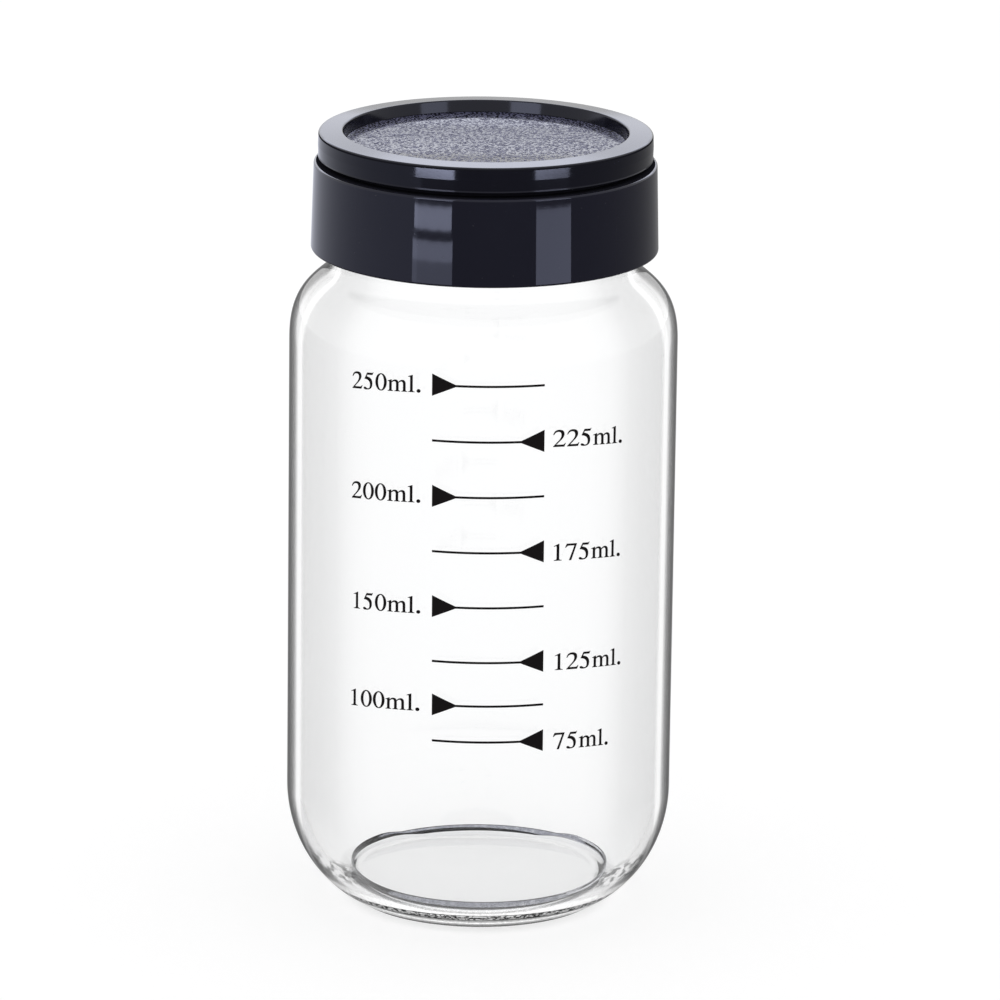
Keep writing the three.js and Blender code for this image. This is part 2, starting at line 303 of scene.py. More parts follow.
def heel(foot, wall, startAngle, steps):  # leaves the base at an angle and runs upright into the wall
    lean = math.radians(startAngle)
    width = (wall[0] - foot[0]) / (1 - math.sin(lean))
    height = (wall[1] - foot[1]) / math.cos(lean)
    return arc((wall[0] - width, wall[1]), width, height, startAngle, 90, steps)


def dome(radius, level, rise, steps):
    shares = np.linspace(0, 1, steps, endpoint=False)
    return [(radius * s, level + rise * (1 + math.cos(math.pi * s)) / 2) for s in shares]


def upright(radius, low, high, pitch):  # rings close together, for a wall that carries a thread
    return [(radius, z) for z in np.linspace(low, high, max(2, round(abs(high - low) / pitch)))]


endGap = 0.03  # millimetres from an end of a straight stretch to its first ring


def between(start, end, steps):  # rings inside a straight stretch, close to its ends too
    start, end = np.array(start), np.array(end)
    near = min(0.4, endGap / np.linalg.norm(end - start))
    shares = [near, *np.linspace(0, 1, steps + 1)[1:-1], 1 - near]
    return [tuple(start + share * (end - start)) for share in shares]


def turned(profile, sides, shape=None):
    angles = np.arange(sides) * 2 * math.pi / sides
    points, rows = [], []
    for radius, level in profile:
        if radius < tiny:
            rows.append([len(points)])
            points.append((0.0, 0.0, level * mm))
            continue
        radii, levels = np.full(sides, radius), np.full(sides, level)
        if shape is not None:
            radii, levels = shape(radii, levels, angles)
        rows.append(list(range(len(points), len(points) + sides)))
        points.extend(zip(radii * np.sin(angles) * mm, -radii * np.cos(angles) * mm, levels * mm))
    faces = []
    for low, high in zip(rows, rows[1:]):
        for j in range(sides):
            k = (j + 1) % sides
            corners = [low[j % len(low)], low[k % len(low)], high[k % len(high)], high[j % len(high)]]
            faces.append(list(dict.fromkeys(corners)))
    return points, faces


sharpAngle = 32  # degrees; flatter edges are shaded smooth


def piece(name, points, faces, material, body, nodes):
    mesh = bpy.data.meshes.new(name)
    mesh.from_pydata(points, [], faces)
    mesh.materials.append(material)
    mesh.shade_smooth()
    mesh.set_sharp_from_angle(angle=math.radians(sharpAngle))
    return placed(name, mesh, body, nodes)


def placed(name, mesh, body, nodes):
    shown = bpy.data.objects.new(name, mesh)
    bpy.context.scene.collection.objects.link(shown)
    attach(shown, body)
    if nodes:
        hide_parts(*nodes)
    print("piece:", name, len(mesh.polygons), "faces")
    return shown


def dress(shown, sides, looks):  # further finishes, each on its stretches of face rings
    for i, (material, stretches) in enumerate(looks, 1):
        shown.data.materials.append(material)
        for first, last in stretches:
            for face in shown.data.polygons[first * sides:last * sides]:
                face.material_index = i


def span(node):  # a solid's foot, top and radius in millimetres
    low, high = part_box(node)
    return low.z / mm, high.z / mm, high.x / mm


rimLevel, bodyRadius = span("glass_jar")[1:]
skirtFoot, channelTop, skirtFootRadius = span("cap_collar")
coverFoot, coverTop, coverRadius = span("cap_cover")
linerUnder, deckUnder, linerRadius = span("cap_liner")

# The screw thread, which the glass and the cap share
thread = {"depth": 1.1, "lead": 4.2, "crestWidth": 0.9, "flare": 0.6, "turns": 1.3, "topDrop": 2.5,
          "runOut": 18, "capStart": 0.25, "capTurns": 1.0, "radialGap": 0.4, "flankGap": 0.3,
          "ringPitch": 0.2, "wholeTurns": 3}
threadLevel = rimLevel - thread["topDrop"] - thread["turns"] * thread["lead"]
capFlare = (1 - thread["radialGap"] / thread["depth"]) * thread["flare"]
capThreadLevel = threadLevel - thread["crestWidth"] - capFlare - thread["flankGap"]


def ridge(angles, levels, startLevel, startTurn, turns):
    share = np.zeros(len(angles))
    for whole in range(thread["wholeTurns"]):
        turn = angles / (2 * math.pi) + whole
        toEnd = 360 * np.minimum(turn - startTurn, startTurn + turns - turn)
        fade = np.clip(toEnd / thread["runOut"], 0, 1)
        away = np.abs(levels - startLevel - thread["lead"] * turn) - thread["crestWidth"] / 2
        flank = np.clip(1 - away / thread["flare"], 0, 1)
        share = np.maximum(share, fade * flank * flank * (3 - 2 * flank))
    return share * thread["depth"]


# Glass jar
jar = {"wall": 2.2, "wallTop": 97.2, "pushUp": 0.15, "sides": 256, "joinGap": 0.1,
       "bearingRadius": 20.8, "bearingWidth": 1.8, "bearingRound": 4, "heelHeight": 19.3, "heelAngle": 20.5,
       "stipple": (53, 79, 101), "stippleDepth": 0.04, "stippleRings": 6,
       "floorLevel": 3.8, "ridgeRadius": 22.1, "ridgeHeight": 1.05, "ridgeHalf": 0.28, "ridgeTop": 0.13,
       "ridgeAside": 0.35, "ridgeOval": 1.2,
       "shoulderHeight": 11.05, "shoulderRings": 25, "wallHandle": 6.8, "neckHandle": 3.6,
       "neckSlope": 38.6, "neckFillet": 4, "neckRadius": 25.6, "neckWall": 2.4, "rimRound": 0.6,
       "steps": {"pushUp": 12, "bearing": 5, "heel": 48, "neck": 10, "rim": 6, "crest": 6, "floor": 10}}


def shoulder():
    slope, fillet = math.radians(jar["neckSlope"]), jar["neckFillet"]
    start = np.array((bodyRadius, jar["wallTop"]))
    endRadius = jar["neckRadius"] + fillet * (1 - math.sin(slope))
    end = np.array((endRadius, jar["wallTop"] + jar["shoulderHeight"]))
    lean = jar["neckHandle"] * np.array((math.cos(slope), -math.sin(slope)))
    handles = [start, start + (0, jar["wallHandle"]), end + lean, end]
    curve = []
    for t in np.linspace(0, 1, jar["shoulderRings"]):
        weights = ((1 - t) ** 3, 3 * t * (1 - t) ** 2, 3 * t * t * (1 - t), t ** 3)
        curve.append(tuple(sum(w * h for w, h in zip(weights, handles))))
    centre = (jar["neckRadius"] + fillet, end[1] + fillet * math.cos(slope))
    return curve + arc(centre, fillet, fillet, -jar["neckSlope"], -90, jar["steps"]["neck"])[1:]


def glassShape(radii, levels, angles):
    onNeck = abs(radii[0] - jar["neckRadius"]) < tiny
    if onNeck:
        return radii + ridge(angles, levels, threadLevel, 0, thread["turns"]), levels
    onRidge = abs(radii[0] - jar["ridgeRadius"]) < jar["ridgeHalf"] + tiny
    if onRidge and levels[0] >= jar["floorLevel"]:
        oval = jar["ridgeOval"] * np.cos(angles) ** 2
        return radii + jar["ridgeAside"] * np.sin(angles) - oval, levels
    inward = jar["bearingRadius"] - radii[0]
    if levels[0] == 0 and 0 < inward < jar["bearingWidth"]:
        across = math.sin(math.pi * inward / jar["bearingWidth"])
        waves = [np.sin(count * angles + count * radii[0]) for count in jar["stipple"]]
        return radii, levels + jar["stippleDepth"] * across * np.abs(sum(waves)) / len(waves)
    return radii, levels


def wallInside(outside):  # the inner face, one wall's thickness in, from the floor up to the neck
    rows = np.array(outside)
    along = np.gradient(rows, axis=0)
    outward = np.stack((along[:, 1], -along[:, 0]), axis=1) / np.linalg.norm(along, axis=1)[:, None]
    inner = rows - jar["wall"] * outward
    return [tuple(point) for point in inner if point[1] > jar["floorLevel"] + jar["joinGap"]]


def floorRidge():  # the low ring that stands on the floor inside
    level, half, top, radius = (jar[k] for k in ("floorLevel", "ridgeHalf", "ridgeTop", "ridgeRadius"))
    crest = arc((radius, level + jar["ridgeHeight"] - top), top, top, 90, 270, jar["steps"]["crest"])
    return [(radius + half, level)] + crest + [(radius - half, level)]


def makeJar(outer, inner, dark):
    steps, angle = jar["steps"], jar["heelAngle"]
    bearing, bearingRound, rimRound = jar["bearingRadius"], jar["bearingRound"], jar["rimRound"]
    bore = jar["neckRadius"] - jar["neckWall"]
    ringInside = bearing - jar["bearingWidth"]
    ringOutside = bearing - bearingRound * math.tan(math.radians(angle / 2))
    roundLevel = rimLevel - rimRound
    outside = shoulder()
    profile = dome(ringInside, 0, jar["pushUp"], steps["pushUp"])
    profile += [(r, 0.0) for r in np.linspace(ringInside, ringOutside, jar["stippleRings"])]
    profile += arc((ringOutside, bearingRound), bearingRound, bearingRound, 0, angle, steps["bearing"])[1:]
    lowWall = heel((bearing, 0), (bodyRadius, jar["heelHeight"]), angle, steps["heel"])
    profile += [point for point in lowWall if point[0] > profile[-1][0] + jar["joinGap"]] + outside
    profile += upright(jar["neckRadius"], outside[-1][1], roundLevel, thread["ringPitch"])[1:]
    rimCentre = (jar["neckRadius"] - rimRound, roundLevel)
    profile += arc(rimCentre, rimRound, rimRound, 90, 180, steps["rim"])[1:]
    profile += arc((bore + rimRound, roundLevel), rimRound, rimRound, 180, 270, steps["rim"])
    innerRing = len(profile)
    profile += wallInside(lowWall + outside)[::-1]
    ridgeRing = len(profile)
    profile += floorRidge()
    floorRing = len(profile) - 1
    profile += between(profile[-1], (0, jar["floorLevel"]), steps["floor"]) + [(0, jar["floorLevel"])]
    points, faces = turned(profile, jar["sides"], glassShape)
    body = piece("glass_body", points, faces, outer, "jar", ["glass_jar"])
    dress(body, jar["sides"], [(inner, [(innerRing, len(profile) - 1)]), (dark, [(ridgeRing, floorRing)])])


# Cap collar: the threaded skirt, its deck and the ring that the cover clips on to
collar = {"bore": 27.1, "leadIn": 0.5, "skirtTopRadius": 28.6, "footRound": 0.35, "topRound": 0.38,
          "deck": 1.55, "spigotOuter": 25.9, "spigotInner": 25.15, "ribRadius": 26.3, "ribHeight": 0.7,
          "clipGap": 0.2, "sides": 240, "steps": {"foot": 6, "skirt": 12, "top": 5}}


def collarShape(radii, levels, angles):
    if abs(radii[0] - collar["bore"]) > tiny:
        return radii, levels
    return radii - ridge(angles, levels, capThreadLevel, thread["capStart"], thread["capTurns"]), levels


def makeCollar(gloss, shadeMatte):
    c, steps = collar, collar["steps"]
    deckTop = deckUnder + c["deck"]
    ribTop = channelTop - c["clipGap"]
    footRound, topRound = c["footRound"], c["topRound"]
    profile = [(0, deckUnder), (linerRadius, deckUnder)]
    profile += upright(c["bore"], deckUnder, skirtFoot + c["leadIn"], thread["ringPitch"])
    profile += [(c["bore"] + c["leadIn"], skirtFoot)]
    foot = (skirtFootRadius, skirtFoot + footRound)
    top = (c["skirtTopRadius"], deckTop - topRound)
    profile += arc((foot[0] - footRound, foot[1]), footRound, footRound, 0, 90, steps["foot"])
    profile += between(foot, top, steps["skirt"])
    profile += arc((top[0] - topRound, top[1]), topRound, topRound, 90, 180, steps["top"])
    deckRing = len(profile) - 1
    profile += [(c["spigotOuter"], deckTop), (c["spigotOuter"], ribTop - c["ribHeight"]),
                (c["ribRadius"], ribTop - c["ribHeight"]), (c["spigotOuter"], ribTop),
                (c["spigotOuter"], channelTop), (c["spigotInner"], channelTop),
                (c["spigotInner"], deckTop), (0, deckTop)]
    points, faces = turned(profile, c["sides"], collarShape)
    skirt = piece("cap_skirt", points, faces, gloss, "cap", ["cap_collar"])
    # painted shade: the deck and the clip ring in the groove under the cover get the dark plastic without
    # reflections
    dress(skirt, c["sides"], [(shadeMatte, [(deckRing, len(profile) - 1)])])
    return skirt


# Cap cover: a raised rim round a sunken floor
cover = {"rimRound": 0.45, "rimFall": 0.18, "lineSteps": 4, "lip": 0.3, "sides": 240,
         "upright": 2.3, "wallLean": 0.06, "wallDraft": 2.1, "footRound": 0.1, "flare": 0.3,
         "recessRadius": 23.75, "recessDepth": 2, "recessDraft": 9, "floorFillet": 0.1, "plate": 1.2,
         "channelInner": 24.95, "channelOuter": 26.5, "beadRadius": 26.1, "beadRise": 0.65, "beadHeight": 0.6,
         "steps": {"foot": 4, "flare": 1, "wall": 6, "upright": 4, "edge": 8, "rim": 5, "lip": 6,
                   "recess": 4, "fillet": 4}}
coverFloor = coverTop - cover["recessDepth"]
floorEdge = cover["recessRadius"] - cover["recessDepth"] * math.tan(math.radians(cover["recessDraft"]))


def makeCover(satin, wall, shadeMatte):
    c, steps = cover, cover["steps"]
    rimRound, lip, footRound, fillet = (c[k] for k in ("rimRound", "lip", "footRound", "floorFillet"))
    waist = (coverRadius - c["wallLean"], coverFoot + c["flare"])
    shoulderLevel = coverTop - c["rimFall"] - rimRound
    drafted = c["upright"] - c["rimFall"] - rimRound
    topRadius = coverRadius - drafted * math.tan(math.radians(c["wallDraft"]))
    beadFoot = coverFoot + c["beadRise"]
    profile = [(0, coverFloor - c["plate"]), (c["channelInner"], coverFloor - c["plate"]),
               (c["channelInner"], channelTop), (c["channelOuter"], channelTop),
               (c["channelOuter"], beadFoot + c["beadHeight"]), (c["beadRadius"], beadFoot + c["beadHeight"]),
               (c["channelOuter"], beadFoot), (c["channelOuter"], coverFoot)]
    wallRing = len(profile)
    footCentre = (coverRadius - footRound, coverFoot + footRound)
    profile += arc(footCentre, footRound, footRound, 0, 90, steps["foot"])
    bend = (coverRadius, coverTop - c["upright"])
    profile += between(profile[-1], waist, steps["flare"]) + [waist]
    profile += between(waist, bend, steps["wall"]) + [bend]
    profile += between(bend, (topRadius, shoulderLevel), steps["upright"])
    # painted shade: a dark line runs round under the rim's edge, in the dark plastic without reflections
    lineRing = len(profile) - 1  # a dark line runs round under the rim's edge
    profile += arc((topRadius - rimRound, shoulderLevel), rimRound, rimRound, 90, 180, steps["edge"])
    lipCentre = (c["recessRadius"] + lip, coverTop - lip)
    cornerCentre = (floorEdge - fillet, coverFloor + fillet)
    inside = arc(lipCentre, lip, lip, 180, 270 - c["recessDraft"], steps["lip"])
    profile += between(profile[-1], inside[0], steps["rim"]) + inside
    corner = arc(cornerCentre, fillet, fillet, 90 - c["recessDraft"], 0, steps["fillet"])
    profile += between(profile[-1], corner[0], steps["recess"])
    cornerRing = len(profile)
    profile += corner + [(0, coverFloor)]
    points, faces = turned(profile, c["sides"])
    top = piece("cap_top", points, faces, satin, "cap", ["cap_cover"])
    shadedRings = [(lineRing, lineRing + c["lineSteps"]), (cornerRing, cornerRing + len(corner) - 1)]
    dress(top, c["sides"], [(wall, [(wallRing, lineRing)]), (shadeMatte, shadedRings)])
    return top


# Pebble grain on the sunken floor: small knobs strewn over a disc
grain = {"edgeGap": 0.02, "pitch": 0.46, "size": 0.36, "flatness": 0.045, "sink": 0.007, "tilt": 0.04,
         "spread": 0.35, "density": 3e7, "seed": 7, "rings": 8, "sides": 48}
grainInputs = {"Geometry": "NodeSocketGeometry", "Pitch": "NodeSocketFloat", "Size": "NodeSocketFloat",
               "Flatness": "NodeSocketFloat", "Spread": "NodeSocketFloat", "Seed": "NodeSocketInt"}


def grainTree(material):
    tree = bpy.data.node_groups.new("pebble_grain", "GeometryNodeTree")
    for name, kind in grainInputs.items():
        tree.interface.new_socket(name, in_out="INPUT", socket_type=kind)
    tree.interface.new_socket("Geometry", in_out="OUTPUT", socket_type="NodeSocketGeometry")
    wire = Wire(tree)
    given = tree.nodes.new("NodeGroupInput")
    disc, pitch, size, flat, spread, seed = (Wire(tree, given.outputs[name]) for name in grainInputs)
    dots = wire.node("GeometryNodeDistributePointsOnFaces", {"distribute_method": "POISSON"}, {
        "Mesh": disc, "Distance Min": pitch, "Density Max": grain["density"], "Seed": seed})
    knob = wire.node("GeometryNodeMeshIcoSphere", {}, {"Radius": size, "Subdivisions": 1})
    flatness = wire.node("ShaderNodeCombineXYZ", {}, {"X": 1.0, "Y": 1.0, "Z": flat})
    flatKnob = wire.node("GeometryNodeTransform", {}, {"Geometry": knob, "Scale": flatness})
    scale = wire.node("FunctionNodeRandomValue", {"data_type": "FLOAT"}, {
        2: 1 - spread, 3: 1 + spread, "Seed": seed}, 1)
    tilt = grain["tilt"]
    turn = wire.node("FunctionNodeRandomValue", {"data_type": "FLOAT_VECTOR"}, {
        0: (-tilt, -tilt, 0), 1: (tilt, tilt, 2 * math.pi), "Seed": seed}, 0)
    strewn = wire.node("GeometryNodeInstanceOnPoints", {}, {
        "Points": dots, "Instance": flatKnob, "Rotation": turn, "Scale": scale})
    whole = wire.node("GeometryNodeRealizeInstances", {}, {"Geometry": strewn})
    smooth = wire.node("GeometryNodeSetShadeSmooth", {}, {"Geometry": whole})
    dressed = wire.node("GeometryNodeSetMaterial", {}, {"Geometry": smooth, "Material": material})
    wire.node("NodeGroupOutput", {}, {"Geometry": dressed})
    return tree


def makeGrain(material):
    radius = floorEdge - grain["edgeGap"]
    profile = [(r, coverFloor - grain["sink"]) for r in np.linspace(radius, 0, grain["rings"])]
    points, faces = turned(profile, grain["sides"])
    base = bpy.data.meshes.new("grain_disc")
    base.from_pydata(points, [], faces)
    seed = bpy.data.objects.new("grain_disc", base)
    bpy.context.scene.collection.objects.link(seed)
    modifier = seed.modifiers.new("pebble_grain", "NODES")
    modifier.node_group = grainTree(material)
    sizes = {"Pitch": grain["pitch"] * mm, "Size": grain["size"] * mm, "Flatness": grain["flatness"],
             "Spread": grain["spread"], "Seed": grain["seed"]}
    for item in modifier.node_group.interface.items_tree:
        if item.in_out == "INPUT" and item.name in sizes:
            modifier[item.identifier] = sizes[item.name]
    evaluated = seed.evaluated_get(bpy.context.evaluated_depsgraph_get())
    mesh = bpy.data.meshes.new_from_object(evaluated)
    mesh.name = "cap_grain"
    bpy.data.objects.remove(seed)
    return placed("cap_grain", mesh, "cap", [])


# Liner: a foam disc with the ring that the glass rim has pressed into it
liner = {"edgeRound": 0.3, "pressDepth": 0.08, "pressReach": 0.5, "sides": 160,
         "steps": {"pressed": 13, "edge": 4}}


def makeLiner(material):
    edge, steps = liner["edgeRound"], liner["steps"]
    outer = jar["neckRadius"] + liner["pressReach"]
    inner = jar["neckRadius"] - jar["neckWall"] - liner["pressReach"]
    middle, half = (outer + inner) / 2, (outer - inner) / 2
    pressed = []
    for share in np.linspace(-1, 1, steps["pressed"]):
        dip = liner["pressDepth"] * math.cos(share * math.pi / 2) ** 2
        pressed.append((middle + half * share, linerUnder + dip))
    profile = [(0, linerUnder)] + pressed
    profile += arc((linerRadius - edge, linerUnder + edge), edge, edge, 0, 90, steps["edge"])
    profile += arc((linerRadius - edge, deckUnder - edge), edge, edge, 90, 180, steps["edge"])
    profile += [(0, deckUnder)]
    points, faces = turned(profile, liner["sides"])
    piece("seal_disc", points, faces, material, "liner", ["cap_liner"])


# Printed scale: each mark is a pointer, its line and its volume, wrapped on the wall as thin ink
scalePrint = {"gap": 0.012, "ink": 0.03, "reach": 9.3, "pointer": 3.9, "pointerHeight": 3.7, "line": 0.34,
              "letterSize": 4.22, "spread": 0.02, "arch": 0.0022, "lean": 0.0095, "slice": 0.7,
              "curveSteps": 6, "weld": 1e-5, "cutNear": 1e-6, "sliver": 1e-4}
marks = [  # volume, its pointer's side, and where its figures start, how far they hang and how wide they are
    (250, -1, -24.4, 1.2, 1.13), (225, 1, 10.7, 0.9, 1.185), (200, -1, -24.55, 1.05, 1.14),
    (175, 1, 10.5, 1.5, 1.185), (150, -1, -24.55, 1.15, 1.14), (125, 1, 10.8, 1.5, 1.195),
    (100, -1, -25.1, 1.02, 1.175), (75, 1, 11.0, 1.5, 1.15)]

# Letter outlines in thousandths of the letter size; a third value marks the handle of a curve
advance = {"0": 500, "1": 500, "2": 500, "5": 500, "7": 500, "m": 778, "l": 278, ".": 250}
outlines = {
    "1": [(112, 586), (286, 676), (303, 676), (303, 82), (303, 20, 1), (392, 18), (392, 0), (118, 0),
          (118, 18), (213, 20, 1), (213, 82), (213, 548), (213, 596, 1), (176, 590), (150, 584, 1),
          (112, 568)],
    "2": [(30, 483), (72, 676, 1), (239, 676), (424, 676, 1), (424, 505), (424, 390, 1), (294, 254),
          (132, 78), (367, 78), (420, 78, 1), (452, 139), (474, 139), (424, 0), (29, 0), (29, 16),
          (222, 236), (322, 352, 1), (322, 462), (322, 600, 1), (206, 600), (104, 600, 1), (52, 475)],
    "5": [(438, 688), (392, 582), (184, 582), (150, 510), (394, 478, 1), (394, 238), (394, -14, 1),
          (160, -14), (32, -14, 1), (32, 40), (32, 88, 1), (80, 88), (110, 88, 1), (150, 54),
          (178, 30, 1), (206, 30), (302, 30, 1), (302, 190), (302, 396, 1), (62, 414), (174, 662),
          (388, 662), (412, 662, 1), (424, 688)],
    "7": [(79, 662), (449, 662), (449, 646), (244, -8), (166, -8), (366, 586), (178, 586), (92, 586, 1),
          (41, 507), (20, 515)],
    "m": [(19, 0), (19, 18), (80, 20, 1), (80, 72), (80, 336), (80, 392, 1), (58, 392), (42, 392, 1),
          (18, 386), (18, 404), (152, 462), (166, 462), (166, 378), (226, 462, 1), (312, 462),
          (402, 462, 1), (428, 368), (496, 462, 1), (580, 462), (700, 462, 1), (700, 300), (700, 72),
          (700, 20, 1), (762, 18), (762, 0), (546, 0), (546, 18), (608, 20, 1), (608, 72), (608, 290),
          (608, 398, 1), (546, 398), (488, 398, 1), (435, 338), (435, 72), (435, 20, 1), (494, 18),
          (494, 0), (281, 0), (281, 18), (343, 20, 1), (343, 72), (343, 290), (343, 398, 1), (284, 398),
          (222, 398, 1), (170, 338), (170, 72), (170, 20, 1), (228, 18), (228, 0)],
    "l": [(21, 0), (21, 18), (94, 20, 1), (94, 84), (94, 556), (94, 614, 1), (68, 614), (50, 614, 1),
          (19, 606), (19, 626), (170, 683), (184, 683), (184, 84), (184, 20, 1), (257, 18), (257, 0)]}
rings = {"0": [(250, 331, 226, 345), (250, 331, 122, 310)], ".": [(125, 56, 70, 70)]}  # centre and half sizes


def flattened(outline, steps):
    points = []
    for i, point in enumerate(outline):
        if len(point) == 2:
            points.append(point)
            continue
        corners = (outline[i - 1], point, outline[(i + 1) % len(outline)])
        start, handle, end = (np.array(corner[:2]) for corner in corners)
        for t in np.linspace(0, 1, steps + 1)[1:-1]:
            points.append(tuple((1 - t) ** 2 * start + 2 * t * (1 - t) * handle + t * t * end))
    return points


def letterLoops(letter, steps):
    if letter in outlines:
        return [flattened(outlines[letter], steps)]
    turn = np.linspace(0, 2 * math.pi, 8 * steps, endpoint=False)
    return [[(cx + w * math.sin(a), cy + h * math.cos(a)) for a in turn] for cx, cy, w, h in rings[letter]]


def figures(volume, along, drop, width):  # the loops of a label, in millimetres along the wall and up it
    p = scalePrint
    unit = p["letterSize"] / 1000
    wide = unit * width
    loops = []
    for letter in f"{volume}ml.":
        for loop in letterLoops(letter, p["curveSteps"]):
            placedLoop = [(along + x * wide, y * unit - drop) for x, y in loop]
            loops.append([(x, y - p["arch"] * x * x) for x, y in placedLoop])
        along += advance[letter] * wide
    return loops


def pointerLoop(side):
    p = scalePrint
    tip, half, thin = p["reach"] - p["pointer"], p["pointerHeight"] / 2, p["line"] / 2
    upper = [(p["reach"], half), (tip, thin), (-p["reach"], thin)]
    lower = [(x, -y) for x, y in reversed(upper)]
    return [(side * x, y) for x, y in upper + lower]


def filled(name, loops):  # a flat curve with these edges, as a mesh one ink layer thick
    curve = bpy.data.curves.new(name, "CURVE")
    curve.dimensions = "2D"
    curve.fill_mode = "BOTH"
    curve.extrude = scalePrint["ink"] / 2
    curve.offset = scalePrint["spread"]
    for loop in loops:
        spline = curve.splines.new("POLY")
        spline.points.add(len(loop) - 1)
        for point, (x, y) in zip(spline.points, loop):
            point.co = (x, y, 0, 1)
        spline.use_cyclic_u = True
    holder = bpy.data.objects.new(name, curve)
    bpy.context.scene.collection.objects.link(holder)
    evaluated = holder.evaluated_get(bpy.context.evaluated_depsgraph_get())
    mesh = bpy.data.meshes.new_from_object(evaluated)
    bpy.data.objects.remove(holder)
    bpy.data.curves.remove(curve)
    return mesh


def makeMark(volume, side, start, drop, width, material):
    p = scalePrint
    node = f"scale_mark_{volume}"
    low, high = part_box(node)
    level = (low.z + high.z) / 2 / mm
    aside = p["lean"] * (jar["wallTop"] - level)  # the print runs a little askew down the wall
    flat = filled(f"print_{volume}", [pointerLoop(side)] + figures(volume, start, drop, width))
    work = bmesh.new()
    work.from_mesh(flat)
    bmesh.ops.remove_doubles(work, verts=work.verts, dist=p["weld"])
    reach = max(abs(v.co.x) for v in work.verts)
    for x in np.arange(-reach, reach, p["slice"]):  # cut across, so that the ink bends with the wall
        whole = work.verts[:] + work.edges[:] + work.faces[:]
        bmesh.ops.bisect_plane(work, geom=whole, dist=p["cutNear"], plane_co=(x, 0, 0), plane_no=(1, 0, 0))
    bmesh.ops.dissolve_degenerate(work, edges=work.edges, dist=p["sliver"])
    for vertex in work.verts:
        radius = bodyRadius + p["gap"] + p["ink"] / 2 + vertex.co.z
        angle = (vertex.co.x + aside) / bodyRadius
        height = level + vertex.co.y
        vertex.co = Vector((radius * math.sin(angle), -radius * math.cos(angle), height)) * mm
    bmesh.ops.recalc_face_normals(work, faces=work.faces)
    work.to_mesh(flat)
    work.free()
    flat.materials.clear()
    flat.materials.append(material)
    placed(f"print_{volume}", flat, "jar", [node])


# Floor, light and camera
def rays(wire, *kinds):  # 1 where light is traced for one of these kinds of ray
    path = wire.tree.nodes.new("ShaderNodeLightPath")
    return sum(Wire(wire.tree, path.outputs[kind]) for kind in kinds)


floorLook = {"size": 8.0, "drop": 0.0003, "colour": (0.32, 0.32, 0.323), "speckled": (0.34, 0.34, 0.342),
             "cloud": 400, "lift": 0.73}


# The floor is pale by its own colour, lifted to white where it is seen straight or through glass
def makeFloor():
    look = floorLook
    half = look["size"] / 2
    mesh = bpy.data.meshes.new("floor")
    corners = [(-half, -half), (half, -half), (half, half), (-half, half)]
    mesh.from_pydata([(x, y, -look["drop"]) for x, y in corners], [], [(0, 1, 2, 3)])
    material, wire, shader = finish("pale_floor", {
        "Specular IOR Level": 0.0, "Roughness": 0.9, "Emission Strength": 1.0})
    cloud = noise(wire, look["cloud"], detail=2.0)
    wire.plug(cloud.mix((*look["colour"], 1), (*look["speckled"], 1)), shader.inputs["Base Color"])
    seen = rays(wire, "Is Camera Ray", "Is Transmission Ray")
    wire.plug(seen * look["lift"], shader.inputs["Emission Color"])
    mesh.materials.append(material)
    floor = bpy.data.objects.new("floor", mesh)
    bpy.context.scene.collection.objects.link(floor)


studio = {"world": 0.9, "white": 1.0, "lampTint": (0.78, 0.82, 1.0)}
lamps = [  # name, bearing, distance, foot and top, width, brightness, panes on an arc and their outward fall
    ("left_strip_high", -35, 0.36, (0.1, 0.42), 0.165, 3.4, 1, 0),
    ("left_strip_cover", -35, 0.36, (0.079, 0.088), 0.165, 28.0, 3, 0),
    ("left_strip_top", -35, 0.36, (0.0622, 0.0673), 0.155, 6.8, 3, 0.0092),
    ("left_strip_mid", -35, 0.36, (0.0555, 0.0598), 0.165, 4.6, 3, 0.0092),
    ("left_strip_low", -35, 0.36, (0.04, 0.0555), 0.165, 2.2, 3, 0.0092),
    ("right_strip_high", 43, 0.36, (0.1, 0.4), 0.15, 2.4, 1, 0),
    ("right_strip_cover", 43, 0.36, (0.079, 0.088), 0.15, 19.0, 3, 0),
    ("right_strip", 43, 0.36, (0.04, 0.0662), 0.15, 3.2, 3, 0.0123),
    ("left_fill", -115, 0.36, (0.0, 0.15), 0.88, 0.6, 5, 0),
    ("back_mid", 180, 0.9, (0.27, 0.42), 1.3, 1.0, 1, 0),
    ("back_high", 180, 0.9, (0.42, 0.8), 1.3, 2.2, 1, 0)]


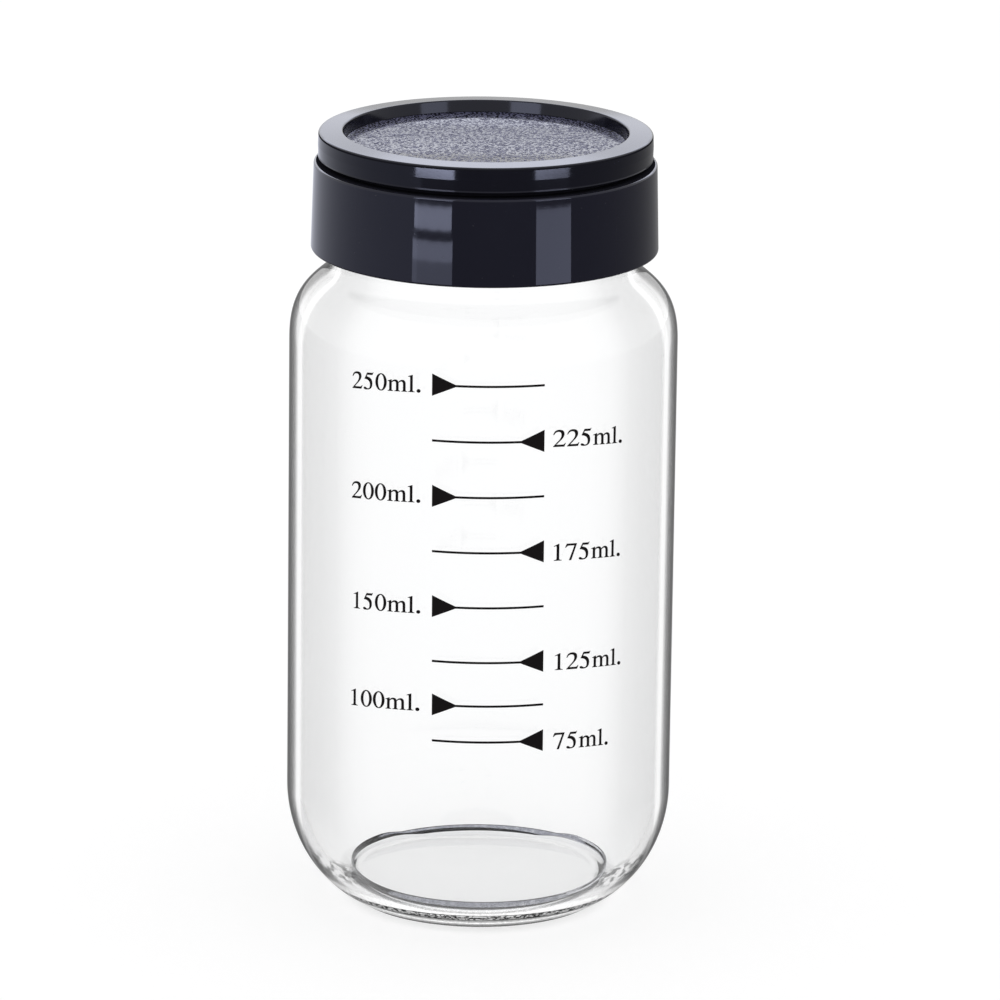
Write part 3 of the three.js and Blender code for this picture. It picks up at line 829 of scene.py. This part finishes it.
# Plain light from all round; the lamps only give the gloss its reflections
def makeLight(lit):
    world = bpy.data.worlds.new("studio")
    bpy.context.scene.world = world
    world.use_nodes = True
    wire = Wire(world.node_tree)
    seen = rays(wire, "Is Camera Ray", "Is Glossy Ray", "Is Transmission Ray")
    shown = wire.maths("MINIMUM", seen, 1.0)
    background = world.node_tree.nodes["Background"]
    background.inputs["Color"].default_value = (1, 1, 1, 1)
    wire.plug(shown * (studio["white"] - studio["world"]) + studio["world"], background.inputs["Strength"])
    for name, bearing, distance, (foot, top), width, brightness, panes, fall in lamps:
        step = width / panes / distance
        paneWidth = 2 * distance * math.tan(step / 2) if panes > 1 else width
        for i in range(panes):
            data = bpy.data.lights.new(name, "AREA")
            data.shape = "RECTANGLE"
            data.size, data.size_y = paneWidth, top - foot
            data.energy = brightness * math.pi * data.size * data.size_y
            data.color = studio["lampTint"]
            lamp = bpy.data.objects.new(name, data)
            along = step * (i - (panes - 1) / 2)
            turn = math.radians(bearing) + along
            rise = -math.copysign(fall, bearing)
            level = (foot + top) / 2 + rise * distance * along
            lamp.location = (distance * math.sin(turn), -distance * math.cos(turn), level)
            aim = Vector((-lamp.location.x, -lamp.location.y, 0)).to_track_quat("-Z", "Y").to_matrix()
            lamp.rotation_euler = (aim @ Matrix.Rotation(rise, 3, "Z")).to_euler()
            lamp.visible_camera = False
            lamp.visible_diffuse = False
            lamp.light_linking.receiver_collection = lit
            bpy.context.scene.collection.objects.link(lamp)


view = {"distance": 1.2, "elevation": 15.73, "azimuth": -1.65, "roll": 0.7, "focal": 7115, "image": 1000,
        "target": (0, 0, 0.0627), "targetPixel": (481.1, 534.8), "sensor": 36, "clip": (0.05, 50)}


def makeCamera():
    data = bpy.data.cameras.new("camera")
    data.sensor_width = view["sensor"]
    data.lens = data.sensor_width * view["focal"] / view["image"]
    data.clip_start, data.clip_end = view["clip"]
    azimuth, elevation, roll = (math.radians(view[k]) for k in ("azimuth", "elevation", "roll"))
    front = Vector((math.sin(azimuth), -math.cos(azimuth), 0))
    back = math.cos(elevation) * front + Vector((0, 0, math.sin(elevation)))
    level = Vector((math.cos(azimuth), math.sin(azimuth), 0))
    steep = back.cross(level)
    right = math.cos(roll) * level + math.sin(roll) * steep
    up = math.cos(roll) * steep - math.sin(roll) * level
    target = Vector(view["target"])
    place = target + view["distance"] * back
    # aim at what lies in the image's middle, so that the target falls on its own pixel
    perPixel = view["distance"] / view["focal"]
    aside = view["image"] / 2 - view["targetPixel"][0]
    above = view["targetPixel"][1] - view["image"] / 2
    back = (place - target - perPixel * (aside * right + above * up)).normalized()
    right = up.cross(back).normalized()
    up = back.cross(right)
    camera = bpy.data.objects.new("camera", data)
    camera.matrix_world = Matrix.Translation(place) @ Matrix((right, up, back)).transposed().to_4x4()
    bpy.context.scene.collection.objects.link(camera)
    bpy.context.scene.camera = camera


bpy.context.scene.view_settings.view_transform = "Standard"
makeJar(outerGlass(), clearGlass("glass_inside")[0], ridgeGlass())
ink = blackInk()
for mark in marks:
    makeMark(*mark, ink)
# painted shade: a dark copy of the plastic without reflections, for the groove under the cover, a line under
# the rim's edge and the sunken floor's corner
shadeMatte = blackSatin("cap_black_painted_shade", shadeMatteFinish)
satin = blackSatin("cap_black_satin", coverFinish)
capSkirt = makeCollar(blackGloss(), shadeMatte)
capTop = makeCover(satin, blackSatin("cap_black_wall", wallFinish), shadeMatte)
capGrain = makeGrain(blackSatin("cap_black_grain", grainToneAndSheen))
makeLiner(linerFoam())

cap = bpy.data.collections.new("cap")  # what the lamps light
for shown in (capSkirt, capTop, capGrain):
    cap.objects.link(shown)
makeCamera()
makeLight(cap)
makeFloor()
print("stage: camera, light and floor")
